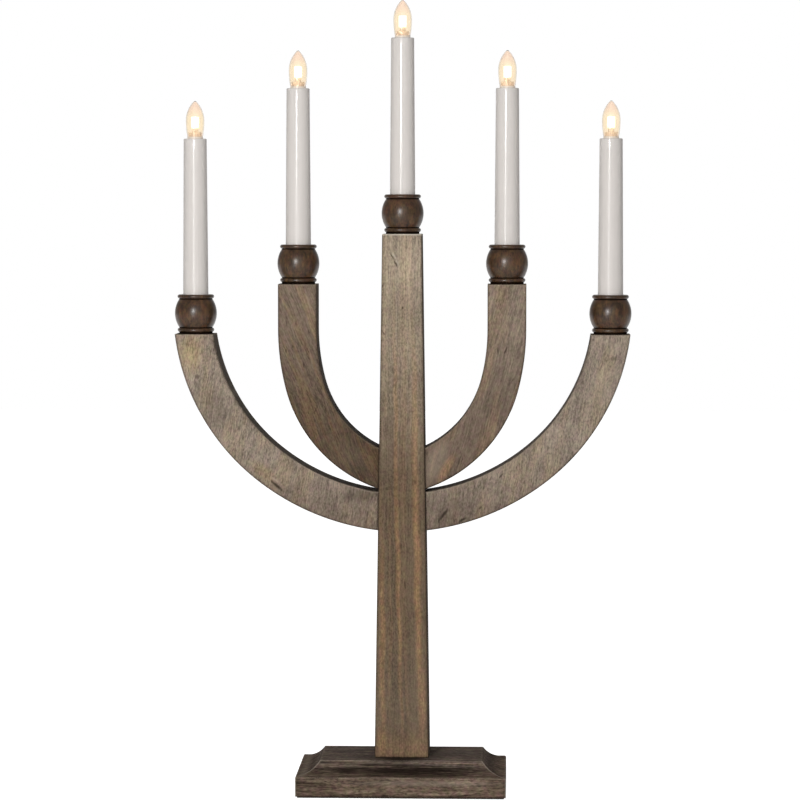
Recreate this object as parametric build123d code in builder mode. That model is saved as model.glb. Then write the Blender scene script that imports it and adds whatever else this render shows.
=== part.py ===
# Five-light electric candelabra in stained wood: a moulded plinth, a tapered stem, two pairs of curved arms
# and five candle sleeves with screw-in bulbs. Millimetres, +Z up, +X to the right, the front faces -Y.
# The origin is on the table under the middle of the plinth.
from build123d import *
import os
from dataclasses import dataclass
from math import acos, asin, cos, degrees, pi, radians, sin, sqrt

# Plinth: a block with a cove moulding, a wiring pocket underneath and a felt sheet that closes it
plinth_width = 166.3
plinth_depth = 101.2
plinth_edge_height = 15.7
plinth_round = 1.3
cove_width = 18.8
cove_height = 10.4
felt_thickness = 1.2
felt_inset = 1.5
pocket_width = 64.0
pocket_depth = 44.0
pocket_height = 12.0
pocket_corner_radius = 5.0
lead_hole_diameter = 14.0

# Cord bush: a flanged plastic sleeve, let in flush at the back of the plinth
bush_height = 8.3
bush_bore_diameter = 6.2
bush_diameter = 9.6
bush_length = 14.0
bush_flange_diameter = 12.6
bush_flange_thickness = 1.6

# Terminal block under the pocket's ceiling
block_length = 34.0
block_width = 11.0
block_height = 8.0
block_round = 1.2

# Stem: a square post that tapers on all four sides, with a wiring channel closed by a strip at the back
stem_height = 417.1
stem_bottom_width = 43.1
stem_top_width = 31.4
stem_round = 1.3
stem_top_round = 0.6
channel_width = 13.0
channel_floor = 4.0
channel_end = 16.0
strip_thickness = 5.0
strip_clearance = 0.1
lead_passage_diameter = 10.0

# Screws that hold the stem to the plinth
screw_diameter = 5.0
screw_length = 42.0
screw_head_diameter = 9.5
screw_head_height = 3.0
screw_spacing = 24.0
screw_setback = 11.0
screw_clearance = 0.1

# Arms: flat bars sawn to a curve of two tangent arcs, a shoulder below the candle and an elbow at the stem
arm_width = 30.7
arm_thickness = 30.0
arm_round = 0.8
arm_root_gap = 2.3
groove_width = 10.0
groove_end = 16.0
outer_arm_root_rise = 196.9
outer_arm_reach = 166.6
outer_arm_shoulder_radius = 158.3
outer_arm_shoulder_angle = 51.5
outer_arm_elbow_radius = 177.1
outer_arm_tip_drop = 20.4
inner_arm_reach = 83.1
inner_arm_shoulder_radius = 175.3
inner_arm_shoulder_angle = 14.8
inner_arm_elbow_radius = 97.9
inner_arm_tip_rise = 35.5

# Dowels between the arms and the stem
dowel_diameter = 6.0
dowel_length = 30.0
dowel_spacing = 14.0
dowel_clearance = 0.05
dowel_end_gap = 0.5

# Turned cups: spigot, foot, bead, ball, bead
cup_height = 31.3
cup_foot_diameter = 26.6
cup_foot_height = 1.4
cup_bead_diameter = 29.2
cup_bead_height = 3.3
cup_neck_diameter = 26.0
cup_ball_diameter = 33.4
spigot_diameter = 14.0
spigot_length = 12.0
spigot_clearance = 0.05
spigot_end_gap = 0.5
sleeve_seat_depth = 12.2
sleeve_clearance = 0.15

# Candle sleeves: drafted plastic tubes with a closed top
sleeve_length = 136.0
sleeve_bottom_diameter = 20.4
sleeve_top_diameter = 18.4
sleeve_wall = 1.5
sleeve_cap_thickness = 1.8
sleeve_round = 0.7

# Lampholders inside the sleeve tops: moulded body, threaded shell with a tail, centre contact with a tail
holder_length = 16.0
holder_floor = 4.0
holder_clearance = 0.15
shell_wall = 0.4
shell_top_setback = 1.0
shell_lip_diameter = 7.2
thread_clearance = 0.24
contact_head_diameter = 6.0
contact_head_thickness = 0.8
tail_diameter = 1.8
tail_clearance = 0.05
tab_thickness = 0.6
tab_width = 2.4

# Bulbs: contact tip, threaded cap, collar with the light block, clear envelope
cap_diameter = 9.52
cap_round = 0.8
tip_diameter = 4.6
tip_height = 1.3
insulator_diameter = 8.0
insulator_thickness = 1.0
collar_diameter = 12.4
collar_height = 3.1
collar_lift = 0.3
collar_hole_clearance = 0.35
plug_height = 3.4
plug_clearance = 0.2
post_diameter = 4.8
post_height = 3.1
light_diameter = 6.2
light_height = 9.2
light_round = 1.2
envelope_diameter = 14.7
envelope_height = 28.3
envelope_belly_height = 12.7
envelope_wall = 0.8
envelope_tip_radius = 1.2

# Leads: two wires side by side from each lampholder to the terminal block
wire_diameter = 2.0
wire_offset = 1.6
lead_column_spacing = 2.3
lead_bend_radius = 60.0
lead_corner_radius = 5.0

# One overrun serves every cut
overrun = 2.0

# Heights of the main seats above the table
plinth_bottom = felt_thickness
edge_top = plinth_bottom + plinth_edge_height
plinth_top = edge_top + cove_height
pocket_ceiling = plinth_bottom + pocket_height
stem_top = plinth_top + stem_height

# Heights inside one candle, counted from the foot of its cup
sleeve_seat = cup_height - sleeve_seat_depth
sleeve_top = sleeve_seat + sleeve_length
holder_top = sleeve_top - sleeve_cap_thickness
holder_bottom = holder_top - holder_length
holder_floor_top = holder_bottom + holder_floor
contact_top = holder_floor_top + contact_head_thickness
insulator_bottom = contact_top + tip_height
cap_bottom = insulator_bottom + insulator_thickness
cap_top = holder_top + collar_lift
collar_top = cap_top + collar_height
plug_top = collar_top + plug_height
light_bottom = plug_top + post_height

# Bores that are taken from the pieces that pass through them
shell_inner_radius = cap_diameter / 2 + thread_clearance
shell_outer_radius = shell_inner_radius + shell_wall
sleeve_hole_radius = collar_diameter / 2 + collar_hole_clearance


def stem_half_width(rise: float) -> float:
    """Half the stem's width at a height above the plinth."""
    return (stem_bottom_width - (stem_bottom_width - stem_top_width) * rise / stem_height) / 2


@dataclass(frozen=True)
class Arm:
    """The centre line of a right-hand arm, in the plane of x and height."""

    name: str
    reach: float
    spring: float
    top: float
    shoulder_radius: float
    shoulder_angle: float
    elbow_radius: float

    def shoulder_centre(self) -> Vector:
        """Centre of the arc below the candle."""
        return Vector(self.reach - self.shoulder_radius, self.spring)

    def elbow_centre(self) -> Vector:
        """Centre of the arc that runs into the stem."""
        angle = radians(self.shoulder_angle)
        away = Vector(cos(angle), -sin(angle))
        return self.shoulder_centre() + away * (self.shoulder_radius - self.elbow_radius)

    def elbow_height(self, x: float, outwards: float = 0) -> float:
        """Height of the elbow at a distance from the middle, on the centre line or outwards of it."""
        centre = self.elbow_centre()
        return centre.Y - sqrt((self.elbow_radius + outwards) ** 2 - (x - centre.X) ** 2)

    def candle_x(self) -> float:
        """Middle of the level cut at the arm's tip."""
        drop = max(0, self.spring - self.top)
        centre = self.shoulder_centre()
        outer_edge = sqrt((self.shoulder_radius + arm_width / 2) ** 2 - drop**2)
        inner_edge = sqrt((self.shoulder_radius - arm_width / 2) ** 2 - drop**2)
        return centre.X + (outer_edge + inner_edge) / 2


# The outer arm's root height sets its place on the stem, and the inner arm sits just above it there
root_x = stem_half_width(outer_arm_root_rise)
level_outer_arm = Arm("outer", outer_arm_reach, 0, 0, outer_arm_shoulder_radius, outer_arm_shoulder_angle,
                      outer_arm_elbow_radius)
level_inner_arm = Arm("inner", inner_arm_reach, 0, 0, inner_arm_shoulder_radius, inner_arm_shoulder_angle,
                      inner_arm_elbow_radius)
outer_spring = plinth_top + outer_arm_root_rise - level_outer_arm.elbow_height(root_x)
outer_root_upper_edge = outer_spring + level_outer_arm.elbow_height(root_x, -arm_width / 2)
inner_spring = outer_root_upper_edge + arm_root_gap - level_inner_arm.elbow_height(root_x, arm_width / 2)

outer_arm = Arm("outer", outer_arm_reach, outer_spring, outer_spring - outer_arm_tip_drop,
                outer_arm_shoulder_radius, outer_arm_shoulder_angle, outer_arm_elbow_radius)
inner_arm = Arm("inner", inner_arm_reach, inner_spring, inner_spring + inner_arm_tip_rise,
                inner_arm_shoulder_radius, inner_arm_shoulder_angle, inner_arm_elbow_radius)
arms = (outer_arm, inner_arm)

# Feet of the five cups
candle_feet = {
    "outer_left": Vector(-outer_arm.candle_x(), 0, outer_arm.top),
    "inner_left": Vector(-inner_arm.candle_x(), 0, inner_arm.top),
    "centre": Vector(0, 0, stem_top),
    "inner_right": Vector(inner_arm.candle_x(), 0, inner_arm.top),
    "outer_right": Vector(outer_arm.candle_x(), 0, outer_arm.top),
}

# The stem's right side, which the arms are cut to, and its slope
stem_side = Plane(
    origin=(stem_bottom_width / 2, 0, plinth_top),
    x_dir=(0, 1, 0),
    z_dir=(stem_height, 0, (stem_bottom_width - stem_top_width) / 2),
)

# Dowels lie between the arm's front face and the floor of its groove
dowel_y = -(arm_thickness / 2 + channel_floor) / 2
dowel_hole_depth = dowel_length / 2 + dowel_end_gap
dowel_hole_radius = dowel_diameter / 2 + dowel_clearance


def dowel_heights(arm: Arm) -> list[float]:
    """Heights of an arm's two dowels, about its centre line halfway along their holes."""
    middle = arm.elbow_height(root_x + dowel_length / 4)
    return [middle - dowel_spacing / 2, middle + dowel_spacing / 2]


def save(piece: Part, name: str) -> None:
    """Labels a finished piece and writes it under its name."""
    piece.label = name
    export_step(piece, f"parts/{name}.step")


def placed(shape: Part, spots: list[Vector]) -> Part:
    """Copies of a shape at the given spots, as one piece or as a group of separate solids."""
    with BuildPart() as copies:
        with Locations(*spots):
            add(shape)
    return copies.part


def mirrored(shape: Part) -> Part:
    """The left-hand twin of a right-hand piece."""
    with BuildPart() as twin:
        mirror(shape, about=Plane.YZ)
    return twin.part


def curved_strip(arm: Arm, width: float, front: float, back: float, top: float) -> Part:
    """A strip along an arm's centre line, between two depths, level at the top and running into the stem."""
    centre = arm.elbow_centre()
    elbow_angle = degrees(acos(-centre.X / arm.elbow_radius)) - arm.shoulder_angle
    blank_top = max(arm.top, arm.spring) + arm_width
    with BuildPart() as strip:
        with BuildSketch(Plane.XZ.offset(-back)):
            with BuildLine():
                run = Line((arm.reach, blank_top), (arm.reach, arm.spring))
                shoulder = JernArc(run @ 1, run % 1, arm.shoulder_radius, -arm.shoulder_angle)
                JernArc(shoulder @ 1, shoulder % 1, arm.elbow_radius, -elbow_angle)
            trace(line_width=width)
        extrude(amount=back - front)
        split(bisect_by=Plane.XY.offset(top), keep=Keep.BOTTOM)
    return strip.part


def cove_section(plane: Plane, length: float) -> Sketch:
    """The plinth's section of the given length: upright edges, a cove on both sides, a flat top."""
    half = length / 2
    with BuildSketch(plane) as section:
        with BuildLine():
            Polyline((-half, edge_top), (-half, plinth_bottom), (half, plinth_bottom), (half, edge_top))
            TangentArc((half, edge_top), (half - cove_width, plinth_top), tangent=(-1, 0))
            Line((half - cove_width, plinth_top), (-half + cove_width, plinth_top))
            TangentArc((-half, edge_top), (-half + cove_width, plinth_top), tangent=(1, 0))
        make_face()
    return section.sketch


def make_plinth() -> Part:
    """The plinth: two crossed coved sections, with the pocket, the lead hole and the fittings' holes."""
    back_face = Plane.XZ.offset(-plinth_depth / 2)
    with BuildPart() as plinth:
        extrude(cove_section(Plane.XZ, plinth_width), amount=plinth_depth / 2, both=True)
        extrude(cove_section(Plane.YZ, plinth_depth), amount=plinth_width / 2, both=True, mode=Mode.INTERSECT)
        corners = plinth.edges().filter_by(Axis.Z)
        rims = plinth.edges().filter_by(GeomType.LINE).filter_by(Axis.Z, reverse=True).group_by(Axis.Z)
        fillet(corners + rims[-2] + rims[-1], radius=plinth_round)
        with BuildSketch(Plane.XY.offset(plinth_bottom)):
            RectangleRounded(pocket_width, pocket_depth, pocket_corner_radius)
        extrude(amount=pocket_height, mode=Mode.SUBTRACT)
        with Locations((0, 0, plinth_top)):
            Hole(lead_hole_diameter / 2)
        with Locations(*[(x, -screw_setback, plinth_top) for x in (-screw_spacing / 2, screw_spacing / 2)]):
            Hole(screw_diameter / 2 + screw_clearance)
        with BuildSketch(back_face):
            with Locations((0, bush_height)):
                Circle(bush_diameter / 2)
        extrude(amount=(plinth_depth - pocket_depth) / 2 + overrun, mode=Mode.SUBTRACT)
        with BuildSketch(back_face):
            with Locations((0, bush_height)):
                Circle(bush_flange_diameter / 2)
        extrude(amount=bush_flange_thickness, mode=Mode.SUBTRACT)
    return plinth.part


def make_felt() -> Part:
    """The felt sheet under the plinth."""
    with BuildPart() as felt:
        with BuildSketch():
            Rectangle(plinth_width - felt_inset * 2, plinth_depth - felt_inset * 2)
        extrude(amount=felt_thickness)
    return felt.part


def make_bush() -> Part:
    """The cord bush, its flange flush with the back of the plinth."""
    with BuildPart() as bush:
        with BuildSketch(Plane.XZ.offset(-plinth_depth / 2)):
            with Locations((0, bush_height)):
                Circle(bush_flange_diameter / 2)
        extrude(amount=bush_flange_thickness)
        with BuildSketch(Plane.XZ.offset(-plinth_depth / 2)):
            with Locations((0, bush_height)):
                Circle(bush_diameter / 2)
        extrude(amount=bush_length)
        with BuildSketch(Plane.XZ.offset(-plinth_depth / 2)):
            with Locations((0, bush_height)):
                Circle(bush_bore_diameter / 2)
        extrude(amount=bush_length, mode=Mode.SUBTRACT)
    return bush.part


def make_block() -> Part:
    """The terminal block, flat against the pocket's ceiling."""
    with BuildPart() as block:
        with BuildSketch(Plane.XY.offset(pocket_ceiling)):
            Rectangle(block_length, block_width)
        extrude(amount=-block_height)
        fillet(block.edges().filter_by(Axis.Z), radius=block_round)
    return block.part


def make_stem() -> Part:
    """The stem: tapered post, wiring channel from the back, slots and dowel holes at the arms, top socket."""
    channel_top = stem_top - channel_end
    with BuildPart() as stem:
        with BuildSketch(Plane.XY.offset(plinth_top)):
            Rectangle(stem_bottom_width, stem_bottom_width)
        with BuildSketch(Plane.XY.offset(stem_top)):
            Rectangle(stem_top_width, stem_top_width)
        loft()
        fillet(stem.edges() - stem.faces().sort_by(Axis.Z)[-1].edges(), radius=stem_round)
        fillet(stem.faces().sort_by(Axis.Z)[-1].edges(), radius=stem_top_round)
        with BuildSketch(Plane.XY.offset(plinth_top)):
            with Locations((0, -channel_floor)):
                Rectangle(channel_width, stem_bottom_width, align=(Align.CENTER, Align.MIN))
        extrude(amount=channel_top - plinth_top, mode=Mode.SUBTRACT)
        for arm in arms:
            slot_height = arm.elbow_height((root_x + channel_width / 2) / 2)
            with BuildSketch(Plane.YZ):
                with Locations((-channel_floor, slot_height)):
                    Rectangle(arm_thickness / 2 - strip_thickness + channel_floor, groove_width,
                              align=(Align.MIN, Align.CENTER))
            extrude(amount=stem_bottom_width, both=True, mode=Mode.SUBTRACT)
            for height in dowel_heights(arm):
                side_x = stem_half_width(height - plinth_top)
                for side in (-1, 1):
                    start = Plane((side * (side_x + overrun), dowel_y, height), z_dir=(-side, 0, 0))
                    with BuildSketch(start):
                        Circle(dowel_hole_radius)
                    extrude(amount=dowel_hole_depth + overrun, mode=Mode.SUBTRACT)
        with Locations(*[(x, -screw_setback, plinth_top) for x in (-screw_spacing / 2, screw_spacing / 2)]):
            Cylinder(screw_diameter / 2 + screw_clearance, screw_length - (plinth_top - pocket_ceiling),
                     align=(Align.CENTER, Align.CENTER, Align.MIN), mode=Mode.SUBTRACT)
        with Locations((0, 0, stem_top)):
            CounterBoreHole(lead_passage_diameter / 2, spigot_diameter / 2 + spigot_clearance,
                            spigot_length + spigot_end_gap, channel_end + overrun)
    return stem.part


def make_stem_strip() -> Part:
    """The strip that closes the stem's channel, flush with the sloping back."""
    strip_top = stem_top - channel_end - strip_clearance
    back_bottom = stem_half_width(0)
    back_top = stem_half_width(strip_top - plinth_top)
    with BuildPart() as strip:
        with BuildSketch(Plane.YZ):
            with BuildLine():
                Polyline(
                    (back_bottom - strip_thickness, plinth_top),
                    (back_bottom, plinth_top),
                    (back_top, strip_top),
                    (back_top - strip_thickness, strip_top),
                    close=True,
                )
            make_face()
        extrude(amount=channel_width / 2 - strip_clearance, both=True)
        foot_edges = strip.edges().filter_by(Axis.X).group_by(Axis.Z)[0]
        fillet(foot_edges.sort_by(Axis.Y)[-1], radius=stem_round)
    return strip.part


def make_arm(arm: Arm) -> Part:
    """A right-hand arm: rounded bar cut to the stem, groove from the back, dowel holes, cup socket."""
    bar = curved_strip(arm, arm_width, -arm_thickness / 2, arm_thickness / 2, arm.top)
    groove = curved_strip(arm, groove_width, -channel_floor, arm_thickness / 2, arm.top - groove_end)
    with BuildPart() as piece:
        add(bar)
        outlines = piece.edges().group_by(Axis.Y)
        fillet(outlines[0] + outlines[-1], radius=arm_round)
        split(bisect_by=stem_side, keep=Keep.TOP)
        add(groove, mode=Mode.SUBTRACT)
        for height in dowel_heights(arm):
            side_x = stem_half_width(height - plinth_top)
            with BuildSketch(Plane((side_x - overrun, dowel_y, height), z_dir=(1, 0, 0))):
                Circle(dowel_hole_radius)
            extrude(amount=dowel_hole_depth + overrun, mode=Mode.SUBTRACT)
        with Locations((arm.candle_x(), 0, arm.top)):
            CounterBoreHole(lead_passage_diameter / 2, spigot_diameter / 2 + spigot_clearance,
                            spigot_length + spigot_end_gap, groove_end + lead_passage_diameter)
    return piece.part


def make_arm_strip(arm: Arm) -> Part:
    """The strip that closes an arm's groove, flush with the back."""
    back = arm_thickness / 2
    top = arm.top - groove_end - strip_clearance
    blank = curved_strip(arm, groove_width - strip_clearance * 2, back - strip_thickness, back, top)
    with BuildPart() as strip:
        add(blank)
        split(bisect_by=stem_side, keep=Keep.TOP)
    return strip.part


def make_dowels() -> Part:
    """All the arm dowels, half in the stem and half in the arms."""
    spots = []
    for arm in arms:
        for height in dowel_heights(arm):
            side_x = stem_half_width(height - plinth_top)
            spots += [Vector(side * side_x, dowel_y, height) for side in (-1, 1)]
    with BuildPart() as dowels:
        with Locations(*spots):
            Cylinder(dowel_diameter / 2, dowel_length, rotation=(0, 90, 0))
    return dowels.part


def make_screw() -> Part:
    """A screw pointing up, its head under the origin."""
    with BuildPart() as screw:
        Cylinder(screw_diameter / 2, screw_length, align=(Align.CENTER, Align.CENTER, Align.MIN))
        Cylinder(screw_head_diameter / 2, screw_head_height, align=(Align.CENTER, Align.CENTER, Align.MAX))
    return screw.part


def make_cup() -> Part:
    """A turned cup with a spigot below, a bore for the leads and a seat for the sleeve."""
    foot_radius = cup_foot_diameter / 2
    bead_radius = cup_bead_diameter / 2
    neck_radius = cup_neck_diameter / 2
    bore_radius = lead_passage_diameter / 2
    seat_radius = sleeve_bottom_diameter / 2 + sleeve_clearance
    ball_bottom = cup_foot_height + cup_bead_height
    ball_top = cup_height - cup_bead_height
    with BuildPart() as cup:
        with BuildSketch(Plane.XZ):
            with BuildLine():
                Polyline(
                    (neck_radius, cup_height),
                    (seat_radius, cup_height),
                    (seat_radius, sleeve_seat),
                    (bore_radius, sleeve_seat),
                    (bore_radius, -spigot_length),
                    (spigot_diameter / 2, -spigot_length),
                    (spigot_diameter / 2, 0),
                    (foot_radius, 0),
                    (foot_radius, cup_foot_height),
                    (neck_radius, cup_foot_height),
                )
                ThreePointArc(
                    (neck_radius, cup_foot_height),
                    (bead_radius, (cup_foot_height + ball_bottom) / 2),
                    (neck_radius, ball_bottom),
                )
                ThreePointArc(
                    (neck_radius, ball_bottom),
                    (cup_ball_diameter / 2, (ball_bottom + ball_top) / 2),
                    (neck_radius, ball_top),
                )
                ThreePointArc(
                    (neck_radius, ball_top),
                    (bead_radius, (ball_top + cup_height) / 2),
                    (neck_radius, cup_height),
                )
            make_face()
        revolve(axis=Axis.Z)
    return cup.part


def make_sleeve() -> Part:
    """A candle sleeve, drafted outside and inside, with a hole in its closed top for the bulb."""
    bottom_radius = sleeve_bottom_diameter / 2
    top_radius = sleeve_top_diameter / 2
    with BuildPart() as sleeve:
        with BuildSketch(Plane.XZ):
            with BuildLine():
                Polyline(
                    (bottom_radius - sleeve_wall, sleeve_seat),
                    (bottom_radius, sleeve_seat),
                    (top_radius, sleeve_top),
                    (sleeve_hole_radius, sleeve_top),
                    (sleeve_hole_radius, holder_top),
                    (top_radius - sleeve_wall, holder_top),
                    close=True,
                )
            make_face()
        revolve(axis=Axis.Z)
        fillet(sleeve.edges().group_by(Axis.Z)[-1].sort_by(SortBy.RADIUS)[-1], radius=sleeve_round)
    return sleeve.part


def make_holder() -> Part:
    """A lampholder body: a thick floor below a bore for the threaded shell, with holes for the two tails."""
    holder_radius = sleeve_top_diameter / 2 - sleeve_wall - holder_clearance
    tail_hole_radius = tail_diameter / 2 + tail_clearance
    shell_tail_y = (shell_inner_radius + shell_lip_diameter / 2) / 2
    with BuildPart() as holder:
        with BuildSketch(Plane.XY.offset(holder_bottom)):
            Circle(holder_radius)
        extrude(amount=holder_length)
        with Locations((0, 0, holder_top)):
            Hole(shell_outer_radius + tail_clearance, holder_top - holder_floor_top)
        with Locations((0, -wire_offset, holder_floor_top), (0, shell_tail_y, holder_floor_top)):
            Hole(tail_hole_radius, holder_floor)
    return holder.part


def make_shell() -> Part:
    """The threaded shell: thin tube with a lip on the lampholder's floor and a tail bent to the lead."""
    tail_y = (shell_inner_radius + shell_lip_diameter / 2) / 2
    lip_top = holder_floor_top + shell_wall
    with BuildPart() as shell:
        with BuildSketch(Plane.XY.offset(holder_floor_top)):
            Circle(shell_outer_radius)
            Circle(shell_lip_diameter / 2, mode=Mode.SUBTRACT)
        extrude(amount=shell_wall)
        with BuildSketch(Plane.XY.offset(lip_top)):
            Circle(shell_outer_radius)
            Circle(shell_inner_radius, mode=Mode.SUBTRACT)
        extrude(amount=holder_top - shell_top_setback - lip_top)
        with BuildSketch(Plane.XY.offset(holder_floor_top)):
            with Locations((0, tail_y)):
                Circle(tail_diameter / 2)
        extrude(amount=-holder_floor)
        with BuildSketch(Plane.XY.offset(holder_bottom)):
            with Locations((0, wire_offset - wire_diameter / 2)):
                Rectangle(tab_width, tail_y + tail_diameter / 2 - wire_offset + wire_diameter / 2,
                          align=(Align.CENTER, Align.MIN))
        extrude(amount=-tab_thickness)
    return shell.part


def make_contact() -> Part:
    """The centre contact: a round head on the lampholder's floor and a tail through it to the lead."""
    with BuildPart() as contact:
        with BuildSketch(Plane.XY.offset(holder_floor_top)):
            Circle(contact_head_diameter / 2)
        extrude(amount=contact_head_thickness)
        with BuildSketch(Plane.XY.offset(holder_floor_top)):
            with Locations((0, -wire_offset)):
                Circle(tail_diameter / 2)
        extrude(amount=-holder_floor)
    return contact.part


def make_bulb_tip() -> Part:
    """The bulb's contact tip and the insulating ring above it."""
    with BuildPart() as tip:
        with BuildSketch(Plane.XY.offset(contact_top)):
            Circle(tip_diameter / 2)
        extrude(amount=tip_height)
        with BuildSketch(Plane.XY.offset(insulator_bottom)):
            Circle(insulator_diameter / 2)
        extrude(amount=insulator_thickness)
    return tip.part


def make_bulb_cap() -> Part:
    """The bulb's cap at the outer diameter of its thread."""
    with BuildPart() as cap:
        with BuildSketch(Plane.XY.offset(cap_bottom)):
            Circle(cap_diameter / 2)
        extrude(amount=cap_top - cap_bottom)
        fillet(cap.edges().group_by(Axis.Z)[0], radius=cap_round)
    return cap.part


def make_bulb_collar() -> Part:
    """The bulb's collar, the plug that carries the envelope, and the light block on its post."""
    plug_radius = collar_diameter / 2 - envelope_wall - plug_clearance
    with BuildPart() as collar:
        with BuildSketch(Plane.XY.offset(cap_top)):
            Circle(collar_diameter / 2)
        extrude(amount=collar_height)
        with BuildSketch(Plane.XY.offset(collar_top)):
            Circle(plug_radius)
        extrude(amount=plug_height)
        with BuildSketch(Plane.XY.offset(plug_top)):
            Circle(post_diameter / 2)
        extrude(amount=post_height)
        with BuildSketch(Plane.XY.offset(light_bottom)):
            Circle(light_diameter / 2)
        extrude(amount=light_height)
        fillet(collar.edges().group_by(Axis.Z)[-1], radius=light_round)
    return collar.part


def make_bulb_envelope() -> Part:
    """The clear pointed envelope, open below, standing on the collar."""
    belly = collar_top + envelope_belly_height
    with BuildPart() as envelope:
        with BuildSketch(Plane.XZ):
            with BuildLine():
                for inwards in (0, envelope_wall):
                    foot_radius = collar_diameter / 2 - inwards
                    belly_radius = envelope_diameter / 2 - inwards
                    tip = collar_top + envelope_height - inwards
                    nose = tip - envelope_tip_radius / 2
                    TangentArc((belly_radius, belly), (foot_radius, collar_top), tangent=(0, -1))
                    TangentArc((belly_radius, belly), (envelope_tip_radius, nose), tangent=(0, 1))
                    TangentArc((0, tip), (envelope_tip_radius, nose), tangent=(1, 0))
                Line((collar_diameter / 2 - envelope_wall, collar_top), (collar_diameter / 2, collar_top))
                Line((0, collar_top + envelope_height - envelope_wall), (0, collar_top + envelope_height))
            make_face()
        revolve(axis=Axis.Z)
    return envelope.part


def lead_path(arm: Arm, column_x: float, y: float, top: float) -> Wire:
    """The line of a wire: down the candle, along the arm's centre line, round a corner and down the stem."""
    x = arm.candle_x()
    shoulder = arm.shoulder_centre()
    elbow = arm.elbow_centre()
    bend_share = (x - lead_bend_radius - shoulder.X) / (arm.shoulder_radius - lead_bend_radius)
    bend_angle = degrees(acos(min(1, bend_share)))
    bend_start = shoulder.Y - (arm.shoulder_radius - lead_bend_radius) * sin(radians(bend_angle))
    corner_share = (column_x + lead_corner_radius - elbow.X) / (arm.elbow_radius + lead_corner_radius)
    corner_angle = degrees(asin(corner_share))
    with BuildLine(Plane.XZ.offset(-y)) as path:
        last = Line((x, top), (x, bend_start))
        if bend_angle > 0:
            last = JernArc(last @ 1, last % 1, lead_bend_radius, -bend_angle)
        last = JernArc(last @ 1, last % 1, arm.shoulder_radius, bend_angle - arm.shoulder_angle)
        last = JernArc(last @ 1, last % 1, arm.elbow_radius, arm.shoulder_angle + corner_angle - 90)
        last = JernArc(last @ 1, last % 1, lead_corner_radius, 90 - corner_angle)
        Line(last @ 1, (column_x, pocket_ceiling))
    return path.wire()


def make_arm_wire(arm: Arm, column_x: float, y: float, top: float) -> Part:
    """One wire of a right-hand arm's lead, at its own depth."""
    path = lead_path(arm, column_x, y, top)
    with BuildPart() as wire:
        with BuildSketch(Plane((arm.candle_x(), y, top), z_dir=(0, 0, -1))):
            Circle(wire_diameter / 2)
        sweep(path=path)
    length_by_volume = wire.part.volume / (pi * wire_diameter**2 / 4)
    print(f"{arm.name} wire: {path.length:.1f} mm long, {length_by_volume:.1f} mm by its volume")
    return wire.part


def make_arm_lead(arm: Arm, column_x: float) -> Part:
    """The twin lead of a right-hand arm: one wire to the contact's tail, one to the shell's tab."""
    contact_end = arm.top + holder_bottom
    contact_wire = make_arm_wire(arm, column_x, -wire_offset, contact_end)
    shell_wire = make_arm_wire(arm, column_x, wire_offset, contact_end - tab_thickness)
    with BuildPart() as lead:
        add(contact_wire)
        add(shell_wire)
    return lead.part


def make_centre_lead() -> Part:
    """The twin lead of the middle candle, straight down the stem."""
    contact_end = stem_top + holder_bottom
    with BuildPart() as lead:
        for y, end in ((-wire_offset, contact_end), (wire_offset, contact_end - tab_thickness)):
            with BuildSketch(Plane.XY.offset(pocket_ceiling)):
                with Locations((0, y)):
                    Circle(wire_diameter / 2)
            extrude(amount=end - pocket_ceiling)
    return lead.part


os.makedirs("parts", exist_ok=True)

save(make_plinth(), "base_plinth")
save(make_felt(), "base_felt")
save(make_bush(), "cord_bush")
save(make_block(), "terminal_block")
save(make_stem(), "stem")
save(make_stem_strip(), "stem_strip")
save(make_dowels(), "arm_dowels")

screw_spots = [Vector(x, -screw_setback, pocket_ceiling) for x in (-screw_spacing / 2, screw_spacing / 2)]
save(placed(make_screw(), screw_spots), "stem_screws")

for arm in arms:
    right_arm = make_arm(arm)
    right_strip = make_arm_strip(arm)
    right_lead = make_arm_lead(arm, lead_column_spacing * (2 if arm is outer_arm else 1))
    save(right_arm, f"arm_{arm.name}_right")
    save(mirrored(right_arm), f"arm_{arm.name}_left")
    save(right_strip, f"arm_strip_{arm.name}_right")
    save(mirrored(right_strip), f"arm_strip_{arm.name}_left")
    save(right_lead, f"lead_{arm.name}_right")
    save(mirrored(right_lead), f"lead_{arm.name}_left")
save(make_centre_lead(), "lead_centre")

candle_pieces = {
    "cup": make_cup(),
    "sleeve": make_sleeve(),
    "lampholder": make_holder(),
    "bulb_tip": make_bulb_tip(),
    "bulb_cap": make_bulb_cap(),
    "bulb_collar": make_bulb_collar(),
    "bulb_envelope": make_bulb_envelope(),
}
for candle, foot in candle_feet.items():
    for piece_name, shape in candle_pieces.items():
        save(placed(shape, [foot]), f"{piece_name}_{candle}")
save(placed(make_shell(), list(candle_feet.values())), "lampholder_shells")
save(placed(make_contact(), list(candle_feet.values())), "lampholder_contacts")
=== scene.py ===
"""Five-light electric candelabra in stained wood, dressed for a photograph on white.

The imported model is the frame. The sawn and moulded wood keeps its CAD meshes and gets its finishes here. The turned
cups, the candle sleeves and the screw-in bulbs are turned again as clean meshes with the detail a close look shows.
Sizes are in millimetres and are turned into metres where a mesh or a node is made.
"""

import logging
import math
from dataclasses import dataclass, field
from enum import Enum
from functools import lru_cache
from typing import Callable, Optional, Union

import bpy
from mathutils import Matrix, Vector


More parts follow.
